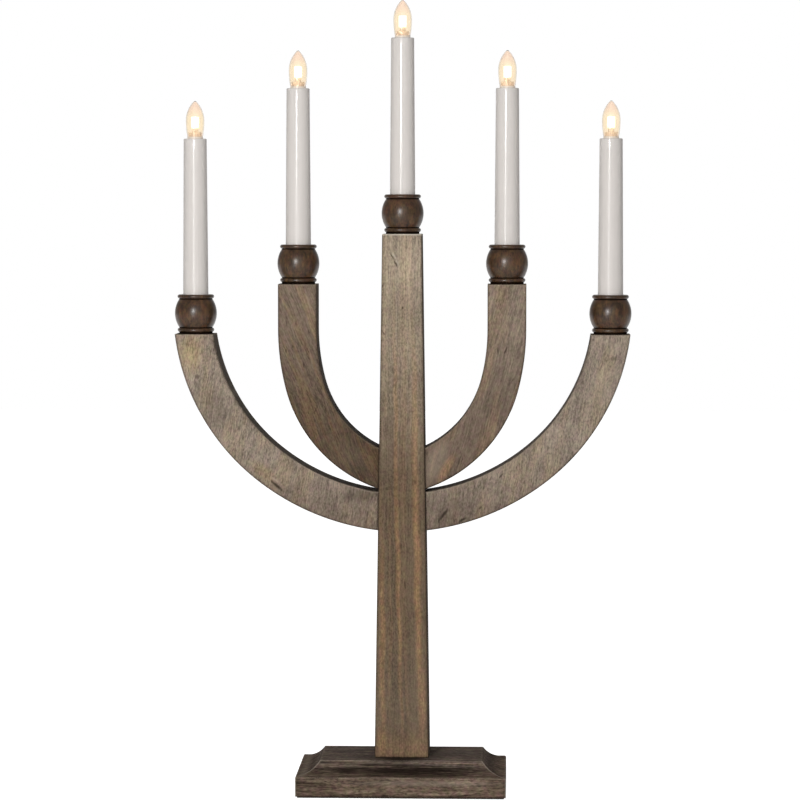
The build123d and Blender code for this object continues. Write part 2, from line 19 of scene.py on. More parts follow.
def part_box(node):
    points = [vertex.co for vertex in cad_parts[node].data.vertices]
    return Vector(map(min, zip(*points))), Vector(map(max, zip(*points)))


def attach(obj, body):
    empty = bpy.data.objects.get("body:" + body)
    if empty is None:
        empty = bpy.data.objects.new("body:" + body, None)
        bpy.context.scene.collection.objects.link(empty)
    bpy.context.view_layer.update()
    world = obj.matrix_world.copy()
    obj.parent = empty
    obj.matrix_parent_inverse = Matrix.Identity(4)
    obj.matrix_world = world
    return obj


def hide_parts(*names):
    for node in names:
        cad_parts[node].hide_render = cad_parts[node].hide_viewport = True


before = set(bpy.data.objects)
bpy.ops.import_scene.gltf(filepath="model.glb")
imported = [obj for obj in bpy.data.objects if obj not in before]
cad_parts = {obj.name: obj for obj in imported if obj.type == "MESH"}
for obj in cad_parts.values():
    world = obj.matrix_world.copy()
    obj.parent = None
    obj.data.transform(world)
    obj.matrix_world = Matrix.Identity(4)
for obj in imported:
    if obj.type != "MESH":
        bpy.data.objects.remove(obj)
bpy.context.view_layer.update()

log = logging.getLogger("candelabra")

MM = 0.001
NOTHING = 1e-6
SHARP_ANGLE = 34.0
BODY = "candelabra"
CANDLES = ("outer_left", "inner_left", "centre", "inner_right", "outer_right")

Span = tuple[float, float]
Point = tuple[float, float, float]
Profile = list[tuple[float, float]]
Socket = bpy.types.NodeSocket
Value = Union[Socket, float]
Colour = tuple[float, float, float, float]
Tint = Union[Socket, Colour]


def linear(hex_colour: str) -> Colour:
    """Turns an sRGB colour into the linear values that the shaders take.

    Args:
        hex_colour: six hexadecimal digits.

    Returns:
        Linear red, green and blue, with full alpha.
    """
    shares = [int(hex_colour[i : i + 2], 16) / 255 for i in (0, 2, 4)]
    red, green, blue = (s / 12.92 if s <= 0.04045 else ((s + 0.055) / 1.055) ** 2.4 for s in shares)
    return red, green, blue, 1.0


@dataclass(frozen=True)
class Web:
    """The shader nodes of one material or of the world."""

    tree: bpy.types.NodeTree

    def feed(self, node: bpy.types.Node, inputs: dict) -> None:
        """Sets or links a node's inputs.

        Args:
            node: the node.
            inputs: a value or another node's socket for each input, by the input's name or number.
        """
        for key, value in inputs.items():
            if isinstance(value, Socket):
                self.tree.links.new(value, node.inputs[key])
            else:
                node.inputs[key].default_value = value

    def add(self, kind: str, inputs: Optional[dict] = None, out: Union[int, str] = 0, **settings) -> Socket:
        """Adds a node with its settings and links.

        Args:
            kind: the node's type, without its leading ShaderNode.
            inputs: what its inputs get, as for feed.
            out: the name or number of the output to give back.
            settings: the node's own properties.

        Returns:
            That output.
        """
        node = self.tree.nodes.new("ShaderNode" + kind)
        for name, value in settings.items():
            setattr(node, name, value)
        self.feed(node, inputs or {})
        return node.outputs[out]

    def math(self, operation: str, first: Value, second: Value = 0.0) -> Socket:
        """Works on one value or two."""
        return self.add("Math", {0: first, 1: second}, operation=operation)

    def ramp(self, value: Socket, span: Span, low: float = 0.0, high: float = 1.0, soft: bool = False) -> Socket:
        """Maps a span of a value onto another, and holds it at both ends.

        Args:
            value: the value.
            span: the values that give low and high.
            low: the result at the span's start.
            high: the result at its end.
            soft: whether the ramp eases in and out.

        Returns:
            The mapped value.
        """
        ends = {"Value": value, "From Min": span[0], "From Max": span[1], "To Min": low, "To Max": high}
        return self.add("MapRange", ends, interpolation_type="SMOOTHSTEP" if soft else "LINEAR")

    def about(self, value: Socket, span: Span, middle: float, spread: float) -> Socket:
        """Maps a span of a value onto a middle less and plus a spread."""
        return self.ramp(value, span, middle - spread, middle + spread)

    def mix(self, share: Socket, below: Tint, above: Tint) -> Socket:
        """Lays a colour over another by a share of it."""
        return self.add("Mix", {0: share, 6: below, 7: above}, 2, data_type="RGBA")

    def axis(self, vector: Socket, name: str) -> Socket:
        """Gives one axis of a vector."""
        return self.add("SeparateXYZ", {0: vector}, name)

    def inside(self) -> Socket:
        """Gives a point's place in its piece, in metres."""
        return self.add("TexCoord", out="Object")

    def place(self) -> Socket:
        """Gives that place shifted by where the piece stands, so that like pieces differ."""
        stands = self.add("ObjectInfo", out="Location")
        return self.add("VectorMath", {0: self.inside(), 1: stands}, operation="ADD")

    def laid(self, place: Socket, sizes: Point, lean: float = 0.0, at: Point = (0.0, 0.0, 0.0)) -> Socket:
        """Lays a pattern of unit size over a piece.

        Args:
            place: the point's place in the piece.
            sizes: the pattern's size on x, y and z, in metres.
            lean: how far it leans in the front, in degrees.
            at: where its middle lies, in metres.

        Returns:
            The point's place in the pattern.
        """
        inputs = {"Vector": place, "Location": at, "Rotation": (0, math.radians(lean), 0), "Scale": sizes}
        return self.add("Mapping", inputs, vector_type="TEXTURE")

    def noise(self, place: Socket, size: Optional[float] = None, detail: float = 2.0, out: str = "Fac") -> Socket:
        """Draws a noise about 0.5.

        Args:
            place: where to draw it.
            size: its size in mm, or nothing for a place in a pattern of unit size.
            detail: how many finer layers it has.
            out: the output to give back.

        Returns:
            The noise.
        """
        scale = 1.0 if size is None else 1 / (size * MM)
        return self.add("TexNoise", {"Vector": place, "Scale": scale, "Detail": detail}, out)

    def bump(self, height: Socket, strength: float, depth: float) -> Socket:
        """Raises a surface by a height, with its depth in mm."""
        return self.add("Bump", {"Height": height, "Strength": strength, "Distance": depth * MM})


class Grain(Enum):
    """The way that a piece's grain runs."""

    LEVEL = "along the width"
    UPRIGHT = "up and down"

    def sizes(self, across: float, along: float) -> Point:
        """Gives a pattern's size on each axis.

        Args:
            across: its size across the grain, in mm.
            along: its size along the grain, in mm.

        Returns:
            The size on x, y and z, in metres.
        """
        if self is Grain.LEVEL:
            return along * MM, across * MM, across * MM
        return across * MM, across * MM, along * MM


@dataclass(frozen=True)
class Figure:
    """One layer of a wood's figure: a noise that is stretched along the grain, with its sizes in mm."""

    across: float
    along: float
    depth: float
    detail: float = 2.0

    def draw(self, web: Web, place: Socket, grain: Grain, lean: float) -> Socket:
        """Draws the layer's noise.

        Args:
            web: the material's nodes.
            place: the point's place in the piece.
            grain: the way that the grain runs.
            lean: how far the grain leans from there, in degrees.

        Returns:
            The noise, about 0.5.
        """
        return web.noise(web.laid(place, grain.sizes(self.across, self.along), lean), detail=self.detail)


@dataclass(frozen=True)
class Mark:
    """A mark on the wood: an oval with a soft, ragged rim, with its place on the front and its sizes in mm."""

    x: float
    z: float
    length: float
    width: float
    share: float = 0.7
    lean: float = 0.0
    rim: Span = (1.6, 0.7)

    def draw(self, web: Web, place: Socket, ragged: Socket) -> Socket:
        """Draws the mark.

        Args:
            web: the material's nodes.
            place: the point's place in the piece.
            ragged: a noise about 0.5 that frays the rim.

        Returns:
            The share of the mark's colour, 0 outside it.
        """
        sizes = (self.width / 2 * MM, 1, self.length / 2 * MM)
        laid = web.laid(place, sizes, self.lean, (self.x * MM, 0, self.z * MM))
        away = web.add("VectorMath", {0: laid}, "Value", operation="LENGTH")
        return web.ramp(web.math("ADD", away, ragged), self.rim, high=self.share, soft=True)


def marks(*rows: tuple[float, ...]) -> tuple[Mark, ...]:
    """Makes marks from rows of x, z, length and width, with a share and a lean where they are not the usual ones."""
    return tuple(Mark(*row) for row in rows)


@dataclass(frozen=True)
class Finish:
    """A surface with its own shader nodes."""

    name: str

    def surface(self, web: Web) -> dict:
        """Draws the surface.

        Args:
            web: the material's nodes.

        Returns:
            What the principled shader's inputs get.
        """
        raise NotImplementedError

    def build(self) -> bpy.types.Material:
        """Makes the material.

        Returns:
            The material.
        """
        material = bpy.data.materials.new(self.name)
        material.use_nodes = True
        web = Web(material.node_tree)
        web.feed(material.node_tree.nodes["Principled BSDF"], self.surface(web))
        return material


@lru_cache(maxsize=None)
def finished(finish: Finish) -> bpy.types.Material:
    """Gives a finish's material, which is made when it is first asked for."""
    return finish.build()


@dataclass(frozen=True)
class StainedWood(Finish):
    """Sawn or turned wood under a thin stain, with rubbing and marks made by hand.

    The stain lies unevenly: bands and flecks follow the grain, bare wood shows through in warm streaks, and the dark of
    the stain stays in the pores, in the end grain and in the dent marks that were struck to age it. Painted shade
    darkens the side faces, the edges that face down or sideways and some marks; painted highlights pale the edges that
    face up, the mitres and some marks, along with real wear. Each span holds the values of a noise, or of a face's
    turn, between which its effect comes in.
    """

    lower: str
    upper: str
    lower_warm: str
    upper_warm: str
    dark: str
    # The pale colour of wear, also used for painted highlights.
    wear_and_highlight: str
    fade_from: float = 0.0
    fade_to: float = 1.0
    grain: Grain = Grain.UPRIGHT
    lean: float = 0.0
    sway_size: float = 45.0
    sway_reach: float = 5.0
    patch_size: float = 24.0
    patch_depth: float = 0.10
    bands: Figure = Figure(11.0, 260.0, 0.14)
    flecks: Figure = Figure(2.4, 10.0, 0.14)
    fibres: Figure = Figure(1.2, 18.0, 0.20, 3.0)
    streaks: Figure = Figure(9.0, 320.0, 0.55, 3.0)
    pores: Figure = Figure(1.0, 6.0, 0.5, 1.0)
    tone_span: Span = (0.36, 0.64)
    streak_span: Span = (0.46, 0.64)
    pore_span: Span = (0.58, 0.70)
    stripes: tuple[Mark, ...] = ()
    # Dark marks: dent marks that hold the stain, and painted shade where shade falls.
    dents_and_shade: tuple[Mark, ...] = ()
    # Pale marks: wear, and painted highlights.
    rubs_and_highlights: tuple[Mark, ...] = ()
    mitre: Optional[tuple[float, float]] = None
    mitre_span: Span = (1.1, 0.3)
    tint_size: float = 5.0
    tint_shift: float = 0.02
    tint_span: Span = (0.35, 0.65)
    edge_width: float = 2.6
    edge_span: Span = (0.99, 0.94)
    edge_dark: float = 0.85
    edge_pale: float = 0.45
    pale_from: float = 0.1
    pale_blend: float = 0.35
    # Darkens the faces that don't face front or back: end-grain stain on the arms, and painted shade on all of them.
    side_stain_and_shade: float = 0.0
    side_span: Span = (0.95, 0.6)
    roughness: float = 0.82
    roughness_spread: float = 0.07
    roughness_span: Span = (0.3, 0.7)
    gloss: float = 0.08
    lacquer: float = 0.0
    lacquer_roughness: float = 0.3
    relief: float = 0.3
    relief_depth: float = 0.35

    def swayed(self, web: Web, place: Socket) -> Socket:
        """Lets the grain wander a little, as it grew.

        Args:
            web: the material's nodes.
            place: the point's place in the piece.

        Returns:
            The place to draw the grain at.
        """
        sway = web.noise(place, self.sway_size, 1.0, "Color")
        centred = web.add("VectorMath", {0: sway, 1: (0.5, 0.5, 0.5)}, operation="SUBTRACT")
        pushed = web.add("VectorMath", {0: centred, "Scale": self.sway_reach * MM}, operation="SCALE")
        return web.add("VectorMath", {0: place, 1: pushed}, operation="ADD")

    def marked(
        self, web: Web, place: Socket, shares: list[Socket], spots: tuple[Mark, ...], ragged: Socket
    ) -> Socket:
        """Joins shares of a colour with the marks in that colour.

        Args:
            web: the material's nodes.
            place: the point's place in the piece.
            shares: the shares that the figure gives.
            spots: the marks.
            ragged: a noise about 0.5 that frays their rims.

        Returns:
            The largest of the shares at each point.
        """
        largest, *rest = shares + [spot.draw(web, place, ragged) for spot in spots]
        for share in rest:
            largest = web.math("MAXIMUM", largest, share)
        return largest

    def edges(self, web: Web) -> tuple[Socket, Socket]:
        """Finds the edges: those that face upwards are paled, partly as wear by hands and cloths and partly as a
        painted highlight; the rest are darkened, partly by the stain that they hold and partly as painted shade.

        Args:
            web: the material's nodes.

        Returns:
            The share of dark along an edge and the share of the pale colour there, both 0 on the flats.
        """
        rounded_off = web.add("Bevel", {"Radius": self.edge_width * MM}, samples=6)
        flat = web.add("NewGeometry", out="Normal")
        agreement = web.add("VectorMath", {0: rounded_off, 1: flat}, "Value", operation="DOT_PRODUCT")
        edge = web.ramp(agreement, self.edge_span)
        upward = web.ramp(web.axis(rounded_off, "Z"), (self.pale_from, self.pale_from + self.pale_blend))
        dark = web.ramp(upward, (0.0, 1.0), self.edge_dark, 0.0)
        pale = web.ramp(upward, (0.0, 1.0), 0.0, self.edge_pale)
        return web.math("MULTIPLY", edge, dark), web.math("MULTIPLY", edge, pale)

    def mitred(self, web: Web, place: Socket) -> Socket:
        """Finds the mitres, where the mouldings of two sides meet in a pale line: worn wood with a painted highlight.

        Args:
            web: the material's nodes.
            place: the point's place in the piece.

        Returns:
            The share of the pale colour, 0 away from the mitres.
        """
        start, lead = self.mitre
        across, back = (web.math("ABSOLUTE", web.axis(place, name)) for name in "XY")
        off = web.math("SUBTRACT", web.math("SUBTRACT", across, back), lead * MM)
        outer, inner = self.mitre_span
        line = web.ramp(web.math("ABSOLUTE", off), (outer * MM, inner * MM), high=self.edge_pale)
        return web.math("MULTIPLY", line, web.math("GREATER_THAN", across, start * MM))

    def surface(self, web: Web) -> dict:
        """Draws the wood: its colour and figure, then the stain and the painted shade in it, then the wear and the
        painted highlights.

        Args:
            web: the material's nodes.

        Returns:
            What the principled shader's inputs get.
        """
        dark = linear(self.dark)
        place = web.place()
        grown = self.swayed(web, place)
        bands, flecks, fibres, streaks, pores = (
            figure.draw(web, grown, self.grain, self.lean)
            for figure in (self.bands, self.flecks, self.fibres, self.streaks, self.pores)
        )
        patches = web.noise(place, self.patch_size, 3.0)
        faded = web.ramp(web.axis(place, "Z"), (self.fade_from * MM, self.fade_to * MM), soft=True)
        colour = web.mix(faded, linear(self.lower), linear(self.upper))
        warm = web.mix(faded, linear(self.lower_warm), linear(self.upper_warm))
        bare = web.ramp(streaks, self.streak_span, high=self.streaks.depth, soft=True)
        colour = web.mix(self.marked(web, grown, [bare], self.stripes, fibres), colour, warm)
        tone = 1.0
        for noise, depth in (
            (patches, self.patch_depth),
            (bands, self.bands.depth),
            (flecks, self.flecks.depth),
            (fibres, self.fibres.depth),
        ):
            tone = web.math("ADD", tone, web.about(noise, self.tone_span, 0.0, depth))
        tints = web.noise(place, self.tint_size)
        hue = web.about(tints, self.tint_span, 0.5, self.tint_shift)
        colour = web.add("HueSaturation", {"Color": colour, "Hue": hue, "Value": tone})

        # Painted shade, with end-grain stain on the arms, darkens the faces that turn away from the front and back.
        flat_on = web.math("ABSOLUTE", web.axis(web.add("TexCoord", out="Normal"), "Y"))
        colour = web.mix(web.ramp(flat_on, self.side_span, high=self.side_stain_and_shade), colour, dark)
        open_pores = web.ramp(pores, self.pore_span, high=self.pores.depth, soft=True)
        stained = self.marked(web, place, [open_pores], self.dents_and_shade, fibres)
        colour = web.mix(stained, colour, dark)
        # Edges that face down or sideways get painted shade and stain; those that face up, the mitres and the pale
        # marks get painted highlights and wear.
        lined, wear_and_highlight = self.edges(web)
        pale_shares = [wear_and_highlight] if self.mitre is None else [wear_and_highlight, self.mitred(web, place)]
        wear_and_highlight = self.marked(web, place, pale_shares, self.rubs_and_highlights, fibres)
        colour = web.mix(wear_and_highlight, web.mix(lined, colour, dark), linear(self.wear_and_highlight))

        raised = web.math("SUBTRACT", fibres, stained)
        return {
            "Base Color": colour,
            "Roughness": web.about(fibres, self.roughness_span, self.roughness, self.roughness_spread),
            "Specular IOR Level": self.gloss,
            "Coat Weight": self.lacquer,
            "Coat Roughness": self.lacquer_roughness,
            "Normal": web.bump(raised, self.relief, self.relief_depth),
        }


@dataclass(frozen=True)
class MouldedPlastic(Finish):
    """Injection-moulded plastic: an even colour with faint flow lines along the draw, and a gloss off the steel."""

    colour: str
    shade: str
    roughness: float = 0.3
    roughness_share: float = 0.15
    line_width: float = 1.4
    line_length: float = 90.0
    line_span: Span = (0.3, 0.7)
    glow: float = 0.0
    gloss: float = 0.5
    relief: float = 0.04
    relief_depth: float = 0.1

    def surface(self, web: Web) -> dict:
        """Draws the plastic.

        Args:
            web: the material's nodes.

        Returns:
            What the principled shader's inputs get.
        """
        sizes = Grain.UPRIGHT.sizes(self.line_width, self.line_length)
        flow = web.noise(web.laid(web.place(), sizes))
        colour = web.mix(web.ramp(flow, self.line_span), linear(self.colour), linear(self.shade))
        return {
            "Base Color": colour,
            "Roughness": web.about(flow, self.line_span, self.roughness, self.roughness * self.roughness_share),
            "Emission Color": colour,
            "Emission Strength": self.glow,
            "Specular IOR Level": self.gloss,
            "Normal": web.bump(flow, self.relief, self.relief_depth),
        }


@dataclass(frozen=True)
class SpunMetal(Finish):
    """Sheet metal drawn or rolled on a spindle: fine rings round the axis, and a little tarnish in patches."""

    colour: str
    tarnish: str
    roughness: float = 0.28
    roughness_spread: float = 0.1
    ring_width: float = 0.25
    ring_length: float = 60.0
    patch: float = 3.0
    patch_span: Span = (0.45, 0.7)
    relief: float = 0.1
    relief_depth: float = 0.05

    def surface(self, web: Web) -> dict:
        """Draws the metal.

        Args:
            web: the material's nodes.

        Returns:
            What the principled shader's inputs get.
        """
        place = web.place()
        rings = web.noise(web.laid(place, Grain.UPRIGHT.sizes(self.ring_length, self.ring_width)))
        worn = web.ramp(web.noise(place, self.patch, 4.0), self.patch_span)
        return {
            "Base Color": web.mix(worn, linear(self.colour), linear(self.tarnish)),
            "Roughness": web.about(rings, (0.0, 1.0), self.roughness, self.roughness_spread),
            "Metallic": 1.0,
            "Normal": web.bump(rings, self.relief, self.relief_depth),
        }


@dataclass(frozen=True)
class PressedFelt(Finish):
    """Pressed wool felt: matted fibres with no weave, and a soft sheen at a glance."""

    colour: str
    pale: str
    fibre: float = 0.5
    fibre_span: Span = (0.35, 0.7)
    matting: float = 1.5
    roughness: float = 0.95
    sheen: float = 0.4
    relief: float = 0.6
    relief_depth: float = 0.4

    def surface(self, web: Web) -> dict:
        """Draws the felt.

        Args:
            web: the material's nodes.

        Returns:
            What the principled shader's inputs get.
        """
        drawn = {"Vector": web.place(), "Scale": 1 / (self.fibre * MM), "Detail": 5.0, "Distortion": self.matting}
        mat = web.add("TexNoise", drawn, "Fac")
        return {
            "Base Color": web.mix(web.ramp(mat, self.fibre_span), linear(self.colour), linear(self.pale)),
            "Roughness": self.roughness,
            "Sheen Weight": self.sheen,
            "Normal": web.bump(mat, self.relief, self.relief_depth),
        }


@dataclass(frozen=True)
class ClearEnvelope(Finish):
    """Clear acrylic, blown thin and tinted by warm lacquer, with a faint painted glow at the belly for the light that
    it catches.

    It has a slight haze, which softens the edge of the light block behind it. Heights are those of the candle, in mm.
    """

    foot: str
    belly: str
    nose: str
    rim: str
    foot_height: float
    belly_low: float
    belly_high: float
    nose_height: float
    glow: str
    strength: float
    haze: float = 0.15
    rim_span: Span = (0.42, 0.95)
    refraction: float = 1.49

    def surface(self, web: Web) -> dict:
        """Draws the envelope.

        Args:
            web: the material's nodes.

        Returns:
            What the principled shader's inputs get.
        """
        height = web.axis(web.inside(), "Z")
        colour, shine = linear(self.belly), linear(self.glow)
        for tint, start, end in (
            (self.foot, self.belly_low, self.foot_height),
            (self.nose, self.belly_high, self.nose_height),
        ):
            share = web.ramp(height, (start * MM, end * MM), soft=True)
            colour = web.mix(share, colour, linear(tint))
            shine = web.mix(share, shine, linear("000000"))
        edge_on = web.add("LayerWeight", {"Blend": 0.5}, "Facing")
        return {
            "Base Color": web.mix(web.ramp(edge_on, self.rim_span), colour, linear(self.rim)),
            "Emission Color": shine,
            "Emission Strength": self.strength,
            "Roughness": self.haze,
            "IOR": self.refraction,
            "Transmission Weight": 1.0,
        }


@dataclass(frozen=True)
class GlowingCore(Finish):
    """The frosted light block of the bulb: white where the diode shines, warmer towards its foot."""

    heart: str
    warm: str
    strength: float
    foot_height: float
    heart_height: float
    roughness: float = 0.5

    def surface(self, web: Web) -> dict:
        """Draws the light block.

        Args:
            web: the material's nodes.

        Returns:
            What the principled shader's inputs get.
        """
        height = web.axis(web.inside(), "Z")
        share = web.ramp(height, (self.foot_height * MM, self.heart_height * MM), soft=True)
        colour = web.mix(share, linear(self.warm), linear(self.heart))
        return {
            "Base Color": colour,
            "Emission Color": colour,
            "Emission Strength": self.strength,
            "Roughness": self.roughness,
        }


def whiteness(web: Web, depth: Socket, span: Span, front_glow: float) -> Socket:
    """Tells how white the floor or the world is to a ray.

    Args:
        web: the nodes of the floor or the world.
        depth: how far back the ray meets it.
        span: the depths between which a reflection goes from the dimmer studio in front to the white background.
        front_glow: how bright a reflection finds the studio in front.

    Returns:
        1 for a ray of the camera or through something clear, less for a reflection, and 0 for a ray that lights the
        object.
    """
    glossy, seen, through = (
        web.add("LightPath", out=f"Is {kind} Ray") for kind in ("Glossy", "Camera", "Transmission")
    )
    mirrored = web.math("MULTIPLY", glossy, web.ramp(depth, span, front_glow, 1.0))
    return web.math("MAXIMUM", mirrored, web.math("MAXIMUM", seen, through))


@dataclass(frozen=True)
class MattPaper(Finish):
    """Matt white paper with a faint pulp, lifted to white for the eye, that keeps the object's shadow."""

    colour: str
    pale: str
    front_glow: float
    pulp: float = 2.0
    lift: float = 0.9
    depth_span: Span = (0.1, 0.6)

    def surface(self, web: Web) -> dict:
        """Draws the paper.

        Args:
            web: the material's nodes.

        Returns:
            What the principled shader's inputs get.
        """
        place = web.inside()
        white = whiteness(web, web.axis(place, "Y"), self.depth_span, self.front_glow)
        return {
            "Base Color": web.mix(web.noise(place, self.pulp), linear(self.colour), linear(self.pale)),
            "Roughness": 1.0,
            "Specular IOR Level": 0.0,
            "Emission Color": linear("FFFFFF"),
            "Emission Strength": web.math("MULTIPLY", white, self.lift),
        }


# Stained pine, greyed, and paler towards the top where more light and more hands reach it. The eye gets long stripes of
# tan in the grey. Its fibres are really about 0.5 mm wide; they are drawn coarser, so that a photograph shows them.
STEM_WOOD = StainedWood(
    "stained pine of the stem", lower="6B5B4A", upper="A19280", lower_warm="947556", upper_warm="B49E7E", dark="3A2E25",
    wear_and_highlight="CFC5B6", fade_from=215, fade_to=440, patch_size=34.0, patch_depth=0.10, bands=Figure(8.0, 420.0, 0.10),
    flecks=Figure(1.2, 2.2, 0.22), fibres=Figure(1.1, 50.0, 0.15, 3.0), streaks=Figure(4.5, 600.0, 0.3, 3.0),
    # The stem's sides are long grain; their darkening is painted shade.
    pores=Figure(0.9, 7.0, 0.28, 1.0), tint_shift=0.014, side_stain_and_shade=0.78, edge_pale=0.6,
    stripes=marks(
        (-3.4, 215, 500, 5.0, 0.8, -1.0), (12.0, 200, 470, 7.0, 0.85, -1.15), (-15.4, 115, 250, 6.5, 0.75),
        (-16.0, 40, 40, 12.0, 0.9), (16.5, 70, 90, 7.0, 0.6), (0.0, 32, 44, 130.0, 0.45),
    ),
    # The last mark here is the painted shadow at the stem's foot, where it stands on the plinth.
    dents_and_shade=marks(
        (-8.0, 427, 9, 1.7, 0.85, -31), (-5.0, 421, 8, 2.0, 0.85, -26), (-14.5, 366, 6, 2.0, 0.7, -40),
        (0.5, 386, 3, 2.4), (-15.4, 403, 4, 1.6), (-8.0, 243, 5, 30.0, 0.45, -4), (10.5, 248, 6, 4.0),
        (-1.0, 196, 7, 7.0, 0.45), (2.6, 166, 10, 2.0, 0.7, -6), (0.0, 240, 120, 70.0, 0.2),
        (4.5, 120, 240, 8.0, 0.12), (0.0, 385, 70, 70.0, 0.12), (0.0, 178, 90, 70.0, 0.14),
        (0.0, 27.2, 2.4, 120.0, 0.9),
    ),
    # The first two are painted highlights on the rims of the two cracks at the top; the third, a pale band along the
    # top edge, is wear with a painted highlight.
    rubs_and_highlights=marks(
        (-6.4, 427.5, 9, 1.6, 0.5, -31), (-3.4, 421.5, 8, 1.6, 0.4, -26), (0.0, 444.2, 2.2, 120.0, 0.8),
        (0.0, 70, 110, 90.0, 0.03),
    ),
)
# The sawn arms are greyer, with a short upright grain across their curve and a few dent marks that were struck to age
# them.
# Their curved sides are end grain, which drank more of the stain, and painted shade darkens them further.
OUTER_ARM_WOOD = StainedWood(
    "stained pine of the outer arms", lower="7A6B5E", upper="938577", lower_warm="93795A", upper_warm="A6906C",
    dark="332A23", wear_and_highlight="B8AA98", fade_from=205, fade_to=280, lean=9.0, patch_size=13.0, patch_depth=0.11,
    bands=Figure(9.0, 60.0, 0.08), flecks=Figure(1.1, 2.4, 0.22), fibres=Figure(1.1, 16.0, 0.18, 3.0),
    streaks=Figure(14.0, 50.0, 0.25, 3.0), pores=Figure(0.9, 3.6, 0.36, 1.0), side_stain_and_shade=0.68,
    stripes=marks((-168, 350, 44, 26.0, 0.65), (-110, 254, 34, 16.0, 0.5, -50)),
    # The wide dark patch on the left arm beside the stem is painted shade.
    dents_and_shade=marks(
        (-100, 244.5, 17, 3.4, 0.9, -49), (-163, 331, 5, 6.0, 0.5), (-148, 304, 56, 34.0, 0.3, -30),
        (-94, 260, 9, 1.4, 0.5, 3), (-34, 236, 16, 36.0, 0.4), (33.4, 222, 18, 3.2, 0.9, 37),
        (47.8, 217.4, 10, 3.0, 0.9, 56), (62, 227, 5, 2.4, 0.7, 45), (79, 253, 7, 2.2, 0.7, 40),
        (168, 346, 5, 8.0, 0.4), (40, 228, 40, 50.0, 0.1),
    ),
    # The last, a pale line along the top edge, is wear with a painted highlight.
    rubs_and_highlights=marks(
        (-136, 318, 12, 5.0, 0.3, -40), (-101, 249, 12, 2.0, 0.4, -52), (160, 325, 50, 26.0, 0.14, 25),
        (0, 365.6, 2.0, 600.0, 0.6),
    ),
)
# The inner arms: their end-grain sides are darkened further by painted shade, and the pale line along their top edge is
# wear with a painted highlight.
INNER_LEFT_WOOD = StainedWood(
    "stained pine of the inner left arm", lower="57483A", upper="7A6A5C", lower_warm="6B5136", upper_warm="8A7355",
    dark="2E251E", wear_and_highlight="A39582", fade_from=250, fade_to=410, lean=-22.0, patch_size=15.0, patch_depth=0.09,
    bands=Figure(9.0, 90.0, 0.10), flecks=Figure(1.2, 2.6, 0.17), fibres=Figure(1.1, 22.0, 0.22, 3.0),
    streaks=Figure(5.0, 70.0, 0.4, 3.0), pores=Figure(0.9, 5.0, 0.38, 1.0), side_stain_and_shade=0.68,
    dents_and_shade=marks((-68.5, 305, 11, 2.0, 0.5, 22), (-92, 352, 5, 1.8), (-78, 340, 6, 1.6, 0.7, -10)),
    rubs_and_highlights=marks(
        (-74, 390, 22, 2.0, 0.35, -16), (-72, 345, 26, 1.8, 0.25, -10), (-83, 405.2, 2.0, 120.0, 0.6),
        (-40, 268, 40, 30.0, 0.07, -50),
    ),
)
INNER_RIGHT_WOOD = StainedWood(
    "stained pine of the inner right arm", lower="6F5F52", upper="8A7B6C", lower_warm="9A7D60", upper_warm="93795C",
    dark="31271F", wear_and_highlight="AA9C8A", fade_from=250, fade_to=410, lean=14.0, patch_size=15.0, patch_depth=0.10,
    bands=Figure(9.0, 90.0, 0.10), flecks=Figure(1.2, 2.6, 0.17), fibres=Figure(1.1, 22.0, 0.20, 3.0),
    streaks=Figure(6.0, 70.0, 0.3, 3.0), pores=Figure(0.9, 5.0, 0.36, 1.0), side_stain_and_shade=0.68,
    stripes=marks((35.5, 257, 32, 10.0, 0.95, 28), (78, 395, 30, 16.0, 0.4)),
    dents_and_shade=marks(
        (82, 352, 8, 1.8, 0.7, 25), (88, 329, 5, 1.8, 0.7, 20), (76, 352, 6, 1.6), (74, 318, 60, 44.0, 0.13, 20),
    ),
    rubs_and_highlights=marks((83, 405.2, 2.0, 120.0, 0.6), (27, 264, 46, 20.0, 0.3, 25)),
)
# The plinth took the most stain: dark brown, streaked along its level grain. The near-black band at the foot of the
# cove, the dark lines under the plateau's edge and in front of the stem are painted shade; the light band along the top
# of the cove and the pale left end of the cove are painted highlights, and the pale mitres are wear with a painted
# highlight.
PLINTH_WOOD = StainedWood(
    "stained pine of the plinth", lower="655548", upper="645850", lower_warm="93806F", upper_warm="8A7865",
    dark="1C1410", wear_and_highlight="A89B8C", fade_from=17, fade_to=25, grain=Grain.LEVEL, patch_depth=0.16,
    bands=Figure(5.0, 120.0, 0.2), flecks=Figure(1.1, 3.8, 0.34), fibres=Figure(1.0, 18.0, 0.24, 3.0),
    streaks=Figure(3.0, 34.0, 0.45, 3.0), pores=Figure(1.0, 3.0, 0.42, 1.0), mitre=(64.3, 32.55), tint_shift=0.025,
    edge_dark=0.8, edge_pale=0.5, pale_from=0.2, gloss=0.03,
    # The first two stripes are painted highlights along the top of the cove.
    stripes=marks((46, 25.7, 1.8, 76.0, 0.7), (0, 25.4, 1.8, 60.0, 0.25), (48, 27.3, 1.0, 64.0, 0.3)),
    # All but the last are painted shade; the last darkens the left of the front face.
    dents_and_shade=marks(
        (3, 20.2, 10.0, 226.0, 0.9), (-6, 23.8, 4.0, 130.0, 0.8, 1), (-52, 25.4, 3.4, 70.0, 0.6),
        (45, 26.5, 1.4, 80.0, 0.4), (0, 26.9, 2.6, 58.0, 0.85), (-72, 8, 24, 56.0, 0.32),
    ),
    # The second is a painted highlight on the left end of the cove.
    rubs_and_highlights=marks((18, 12.4, 6.0, 150.0, 0.25), (-78, 21.5, 12, 11.0, 0.5, 25)),
)
